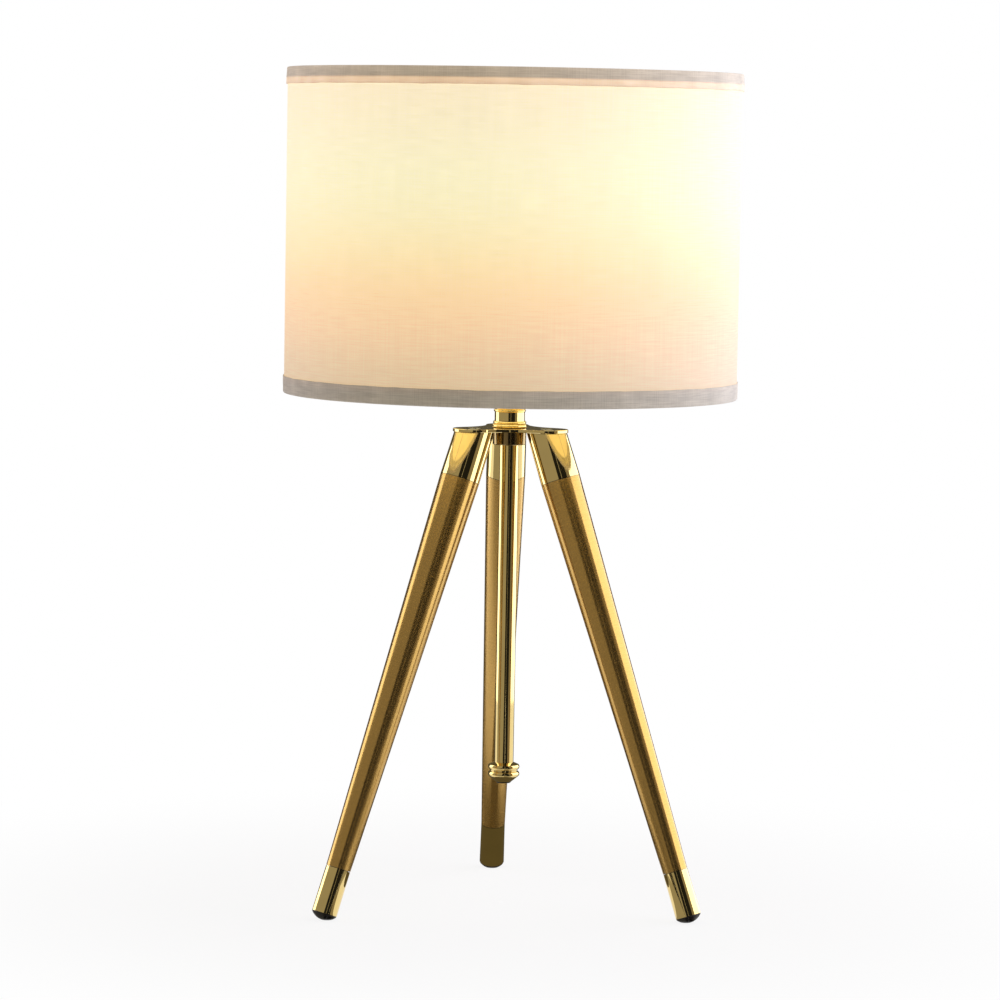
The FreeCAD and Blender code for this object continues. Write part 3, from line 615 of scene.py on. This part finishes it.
def make_trim(settings, name, node, rim, inwards, seed, glow_from, glow_to, colours):
    """A strip of cloth folded over a rim of the shade.

    Its path goes up the outside band, over the rim and the wire and back along the liner, with
    rounded corners, and its outline is that path thickened and carried round. The band's
    pucker is a sum of WAVES round the ring, which slant at random and fade at the rim.
    inwards is 1 for the lower rim and -1 for the upper one.
    """
    half = settings.trim_thickness / 2
    outer = SHADE_RADIUS - half
    fold = TOP_WIRE_HIGH.x - WIRE_THICKNESS - half - WIRE_GAP
    on_liner = LINER_RADIUS - LINER_WALL - half
    behind_wire = 2 * half + WIRE_THICKNESS
    path, along = rounded_path([
        (outer, rim + inwards * (TRIM_BAND - half)), (outer, rim + inwards * half),
        (fold, rim + inwards * half), (fold, rim + inwards * behind_wire),
        (on_liner, rim + inwards * (behind_wire + WIRE_TO_LINER)),
        (on_liner, rim + inwards * settings.trim_return)], FOLD_STEP, FOLD_ROUNDING)
    outline, length = strip_outline(path, along, settings.trim_thickness)
    columns = 600
    depth = np.abs(outline[:, 1] - rim)
    band = outline[:, 0] > SHADE_RADIUS - 3 * half
    loose = step_up(depth, *LOOSE_DEPTH) * band
    hem = step_up(depth, TRIM_BAND - HEM_DEPTH, TRIM_BAND) * band
    random = np.random.default_rng(seed)
    count, share = np.array(WAVES).T
    phase = random.uniform(0, 2 * math.pi, len(count))
    slant = random.uniform(-1, 1, len(count)) * WAVE_SLANT
    seam = lap_seam(settings, SHADE_RADIUS)

    def wave(angle, row):
        turn = (count * angle[..., None] + phase + slant * depth[row][..., None])
        return (share * np.sin(turn)).sum(-1) / share.sum()

    def swell(angle, row):
        return (loose[row] * settings.trim_pucker * np.clip(PUCKER_BIAS + wave(angle, row), 0, 1)
                + seam(angle) * (outline[row, 0] > SHADE_RADIUS - half))

    def lift(angle, row):
        return hem[row] * HEM_WAVER * settings.trim_pucker * wave(angle + 1, row)

    arc = 2 * math.pi * SHADE_RADIUS / columns
    ways = np.append(length, length[0])

    def uv(column, row):
        return np.stack([column * arc, ways[row]], -1)

    trim = grid_mesh(name, turned_grid(outline, columns, swell, lift), uv, close_v=True)
    material = trim_material(settings, "slub_weave_" + name, glow_from, glow_to, colours)
    finish_piece(trim, material, "shade", node)


class LAMP_OT_shade_trims(bpy.types.Operator):
    """Make the two strips of cloth that are folded over the shade's rims"""
    bl_idname = "lamp.shade_trims"
    bl_label = "Shade trims"

    def execute(self, context):
        settings = context.scene.lamp_shade
        make_trim(settings, "top_trim_strip", "shade_top_trim", TOP_TRIM_HIGH.z, -1, 3,
                  TOP_TRIM_LOW.z, TOP_TRIM_HIGH.z, TOP_TRIM_GLOW)
        make_trim(settings, "bottom_trim_strip", "shade_bottom_trim", BOTTOM_TRIM_LOW.z, 1, 8,
                  BOTTOM_TRIM_LOW.z, BOTTOM_TRIM_HIGH.z, BOTTOM_TRIM_GLOW)
        return {"FINISHED"}


class LAMP_OT_shade_frame(bpy.types.Operator):
    """Finish the shade's liner, wire rings, arms and fitter ring"""
    bl_idname = "lamp.shade_frame"
    bl_label = "Shade frame"

    def execute(self, context):
        paint(liner_material(context.scene.lamp_shade), "shade_liner")
        # Zinc-plated steel wire, drawn: cool grey with a patchy bloom, brighter on its edges.
        paint(finish("zinc_plated_steel_wire", "#AEB1B5", 0.32, "#D2D4D6", grain=1.2 * MM,
                     tone=0.07, Metallic=1.0), "top_ring_wire", "bottom_ring_wire")
        # Steel, powder coated white: a satin skin with a soft orange peel, thin on the edges.
        paint(finish("white_powder_coated_steel", "#E6E3DC", 0.38, "#CFCBC2", grain=1.6 * MM,
                     tone=0.02, relief=0.03 * MM), "shade_fitter_ring", "spider_arms")
        return {"FINISHED"}


class LAMP_OT_holder(bpy.types.Operator):
    """Finish the lampholder and its retaining ring"""
    bl_idname = "lamp.holder"
    bl_label = "Lampholder"

    def execute(self, context):
        # PBT plastic, injection moulded: off-white, satin, with a fine spark-eroded grain.
        paint(finish("white_pbt_moulded", "#E4E0D6", 0.45, "#EFECE5", grain=0.8 * MM, tone=0.02,
                     relief=0.02 * MM), "lampholder_cap", "lampholder_shell", "retaining_ring")
        # Steatite, pressed and fired: a chalky white insulator with a dry, sandy face.
        paint(finish("steatite_pressed", "#DAD6CB", 0.7, "#E9E6DE", grain=0.6 * MM, tone=0.05,
                     relief=0.04 * MM), "lampholder_insert")
        # Brass, pressed from strip: warm yellow, lightly scuffed, brighter where it is rubbed.
        brass = finish("brass_pressed", "#C3A052", 0.28, "#E3C987", grain=0.9 * MM, tone=0.06,
                       Metallic=1.0)
        paint(brass, "screw_shell", "centre_contact", "terminal_blocks", "upper_nipple",
              "lock_nut", "lower_nipple")
        # Zinc-plated steel screws, cold headed: grey with a slight bloom and bright edges.
        paint(finish("zinc_plated_screw", "#A9ACB0", 0.3, "#D5D7D9", grain=0.7 * MM, tone=0.08,
                     Metallic=1.0), "terminal_screws", "leg_screws")
        return {"FINISHED"}


class LAMP_OT_bulb(bpy.types.Operator):
    """Finish the bulb and light it"""
    bl_idname = "lamp.bulb"
    bl_label = "Bulb"

    def execute(self, context):
        paint(opal_glass_material(context.scene.lamp_shade), "bulb_glass")
        # Aluminium, drawn and threaded: pale grey with a soft sheen and polished crests.
        paint(finish("aluminium_cap_drawn", "#C4C6C8", 0.3, "#E3E4E5", grain=0.8 * MM, tone=0.05,
                     Metallic=1.0), "bulb_cap", "bulb_contact")
        # Black vitrite glass, pressed: glossy with small bubbles, as dark as tar.
        paint(finish("vitrite_black_glass", "#121214", 0.12, "#2B2B2E", grain=1.1 * MM,
                     tone=0.15, IOR=1.52), "bulb_insulator")
        # Soda-lime glass, pressed clear: a bright, slightly streaky stem.
        paint(finish("soda_lime_stem_glass", "#EDF3F1", 0.06, "#F6FAF9", grain=2.5 * MM,
                     tone=0.01, IOR=1.52, Transmission_Weight=0.9), "bulb_stem")
        # Phosphor in silicone, dip coated: matt yellow sticks with a slightly lumpy skin.
        paint(finish("phosphor_silicone_coat", "#F0C544", 0.55, "#F7DC86", grain=0.9 * MM,
                     tone=0.06, relief=0.06 * MM, Emission_Color=linear("#FFD890"),
                     Emission_Strength=1.0), "bulb_filaments")
        return {"FINISHED"}


class LAMP_OT_hub(bpy.types.Operator):
    """Finish the neck, the hub, the centre rod and its finial"""
    bl_idname = "lamp.hub"
    bl_label = "Neck, hub and rod"

    def execute(self, context):
        paint(polished_gold_material(context.scene.lamp_metal), "neck_spool", "hub_plate",
              "centre_rod", "finial",
              *("leg_" + piece + side for piece in ("sleeve_", "tip_") for side in LEGS))
        # Gold-coloured plating on the collar under the plate, painted darker brown than the buffed
        # pieces as painted shade, with fine upright lines of tone, duller, and pale on its rims.
        paint(finish("gold_plating_collar_painted_shade", "#9A8358", 0.16, "#D8C18A", grain=1.1 * MM,
                     tone=0.3, upright=40.0, Metallic=1.0), "hub_boss")
        # Nylon bush, injection moulded: near black with a dull sheen and a greyed rim.
        paint(finish("black_nylon_moulded", "#17140F", 0.45, "#2E2A24", grain=0.7 * MM,
                     tone=0.12, relief=0.02 * MM), "outlet_bush")
        return {"FINISHED"}


class LAMP_OT_legs(bpy.types.Operator):
    """Finish the leg tubes, their plugs and their foot pads"""
    bl_idname = "lamp.legs"
    bl_label = "Legs"

    def execute(self, context):
        # Free-cutting steel, turned: dark bright grey with fine tool marks, paler on edges.
        plug = finish("free_cutting_steel_turned", "#8F9194", 0.3, "#C2C4C6", grain=0.6 * MM,
                      tone=0.08, Metallic=1.0)
        # Natural rubber with carbon black, moulded: brown-black and dull, dusty on its edges.
        rubber = finish("black_rubber_moulded", "#1E1712", 0.5, "#3A3029", grain=0.9 * MM,
                        tone=0.15, relief=0.05 * MM)
        for side in LEGS:
            paint(satin_gold_material(context.scene.lamp_metal, side), "leg_tube_" + side)
            paint(plug, "leg_plug_" + side)
            paint(rubber, "foot_pad_" + side)
        return {"FINISHED"}


class LAMP_OT_studio(bpy.types.Operator):
    """Set up the camera, the pale floor and the soft studio light"""
    bl_idname = "lamp.studio"
    bl_label = "Studio"

    def execute(self, context):
        scene = context.scene
        make_camera(scene.lamp_studio)
        make_floor()
        make_panels(scene.lamp_studio)
        make_world(scene.lamp_studio)
        scene.view_settings.view_transform = "Standard"
        return {"FINISHED"}


def make_camera(settings):
    """Camera turned from looking along +Y by its heading, pitch and roll."""
    data = bpy.data.cameras.new("camera")
    data.lens = settings.focal_length
    data.sensor_width = SENSOR_WIDTH
    camera = bpy.data.objects.new("camera", data)
    turn = (Matrix.Rotation(-settings.heading, 3, "Z")
            @ Matrix.Rotation(math.pi / 2 - settings.pitch, 3, "X")
            @ Matrix.Rotation(settings.roll, 3, "Z"))
    camera.matrix_world = Matrix.Translation(settings.camera_place) @ turn.to_4x4()
    bpy.context.scene.collection.objects.link(camera)
    bpy.context.scene.camera = camera


def seen_directly(tree, *rays):
    """1 for rays of the named kinds, and 0 for the others."""
    look = add(tree, "ShaderNodeLightPath")
    seen = look.outputs[rays[0]]
    for ray in rays[1:]:
        seen = add(tree, "ShaderNodeMath", {0: seen, 1: look.outputs[ray]},
                   operation="MAXIMUM").outputs[0]
    return seen


def make_floor():
    """Round matt white floor, with rings that grow outwards.

    Its own shaded white turns to the background's white away from the lamp, for what looks at
    it, so the lamp's soft shadow stays.
    """
    material, tree, surface = new_material("matt_white_floor")
    place = add(tree, "ShaderNodeTexCoord").outputs["Object"]
    away = add(tree, "ShaderNodeVectorMath", {0: place}, operation="LENGTH")
    far = add(tree, "ShaderNodeMapRange", {
        "Value": away.outputs["Value"], "From Min": SHADOW_REACH[0], "From Max": SHADOW_REACH[1],
        "To Min": SHADOW_WHITE, "To Max": 1.0}, interpolation_type="SMOOTHSTEP")
    paint_grain = add(tree, "ShaderNodeTexNoise", {0: place, "Scale": 1 / (3 * MM)})
    paint_tone = toned(tree, paint_grain.outputs[0], linear("#F4F4F4")[:3], 0.99, 1.01)
    shaded = add(tree, "ShaderNodeBsdfDiffuse", {0: paint_tone})
    white = add(tree, "ShaderNodeEmission", {0: (1, 1, 1, 1)})
    seen = seen_directly(tree, "Is Camera Ray", "Is Glossy Ray", "Is Transmission Ray")
    share = add(tree, "ShaderNodeMath", {0: seen, 1: far.outputs[0]}, operation="MULTIPLY")
    mixed = add(tree, "ShaderNodeMixShader", {
        0: share.outputs[0], 1: shaded.outputs[0], 2: white.outputs[0]})
    tree.links.new(mixed.outputs[0], surface)
    profile = np.array([(ring, -FLOOR_DROP) for ring in FLOOR_RINGS])
    floor = grid_mesh("floor", turned_grid(profile, 96))
    floor.data.materials.append(material)


def make_panels(settings):
    """Upright studio panels in a ring round the lamp, out of the camera's sight.

    Each is a stretch of a cylinder from one angle to another, and angles go from the camera's
    side to the right. The flags go on along the floor as cards laid there. A front flag has one
    card to each front foot, and those meet in the lamp's middle plane. The back flag's card
    ends at a round one between the feet.
    """
    lift = np.array([0, 0, CARD_LIFT])
    feet = [np.mean(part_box("foot_pad_" + side), 0) * (1, 1, 0) for side in ("left", "right")]
    for name, start, end, colour, strength in PANELS:
        material, tree, surface = new_material(name)
        light = add(tree, "ShaderNodeEmission", {0: (*colour, 1), 1: strength})
        tree.links.new(light.outputs[0], surface)
        outward = directions(np.linspace(start, end, 24))
        edge = settings.panel_radius * outward
        lights_matt = name.startswith("window")
        forms = [np.stack([edge, edge + np.array([0, 0, settings.panel_height])])]
        if name.endswith("back"):
            middle = directions(np.linspace(0, 360, 49))
            forms.append(np.stack([MIDDLE_CARD * outward, edge]))
            forms.append(np.stack([1 * MM * middle, MIDDLE_CARD * middle]))
        elif name.startswith("flag"):
            forms += [card_to_foot(foot, edge) for foot in feet]
        for number, points in enumerate(forms):
            panel = grid_mesh(name + "_" + str(number), points + lift, close_u=False)
            panel.data.materials.append(material)
            panel.visible_camera = False
            panel.visible_diffuse = lights_matt
            panel.visible_glossy = not lights_matt
            panel.visible_shadow = False


def directions(degrees):
    """Level unit vectors at angles from the camera's side to the right."""
    angle = np.radians(degrees)
    return np.stack([np.sin(angle), -np.cos(angle), 0 * angle], 1)


def card_to_foot(foot, edge):
    """Rows of a card from a foot to an edge, cut off at the lamp's middle plane, x = 0."""
    crosses = edge[:, 0] * foot[0] < 0
    reach = np.where(crosses, abs(foot[0] - edge[:, 0]), abs(foot[0]))
    run = (edge - foot) * (abs(foot[0]) / reach)[:, None]
    return np.stack([foot + CARD_START * run, foot + run])


def make_world(settings):
    """White for what looks at the background, and a softer, slightly warm light on all else."""
    world = bpy.data.worlds.new("studio")
    bpy.context.scene.world = world
    world.use_nodes = True
    tree = world.node_tree
    tree.nodes.clear()
    seen = seen_directly(tree, "Is Camera Ray", "Is Glossy Ray", "Is Transmission Ray")
    soft = add(tree, "ShaderNodeBackground", {0: SKY_COLOUR, 1: settings.sky})
    white = add(tree, "ShaderNodeBackground", {0: (1, 1, 1, 1), 1: 1.0})
    mixed = add(tree, "ShaderNodeMixShader", {0: seen, 1: soft.outputs[0], 2: white.outputs[0]})
    out = add(tree, "ShaderNodeOutputWorld")
    tree.links.new(mixed.outputs[0], out.inputs[0])


class LAMP_PT_panel(bpy.types.Panel):
    """Lists the lamp's settings and steps"""
    bl_idname = "LAMP_PT_panel"
    bl_label = "Tripod table lamp"
    bl_space_type = "VIEW_3D"
    bl_region_type = "UI"
    bl_category = "Lamp"

    def draw(self, context):
        for group in (getattr(context.scene, name) for name in SETTINGS):
            for name in group.__annotations__:
                self.layout.prop(group, name)
        for step in STEPS:
            self.layout.operator(step.bl_idname)


SETTINGS = {"lamp_shade": ShadeSettings, "lamp_metal": MetalSettings,
            "lamp_studio": StudioSettings}
STEPS = (LAMP_OT_shade_cloth, LAMP_OT_shade_trims, LAMP_OT_shade_frame, LAMP_OT_holder,
         LAMP_OT_bulb, LAMP_OT_hub, LAMP_OT_legs, LAMP_OT_studio)
CLASSES = (*SETTINGS.values(), *STEPS, LAMP_PT_panel)


def register():
    for kind in CLASSES:
        bpy.utils.register_class(kind)
    for name, kind in SETTINGS.items():
        setattr(bpy.types.Scene, name, bpy.props.PointerProperty(type=kind))


def unregister():
    for name in SETTINGS:
        delattr(bpy.types.Scene, name)
    for kind in reversed(CLASSES):
        bpy.utils.unregister_class(kind)


def main():
    register()
    bpy.ops.lamp.shade_cloth()
    bpy.ops.lamp.shade_trims()
    bpy.ops.lamp.shade_frame()
    bpy.ops.lamp.holder()
    bpy.ops.lamp.bulb()
    bpy.ops.lamp.hub()
    bpy.ops.lamp.legs()
    bpy.ops.lamp.studio()


if __name__ == "__main__":
    main()
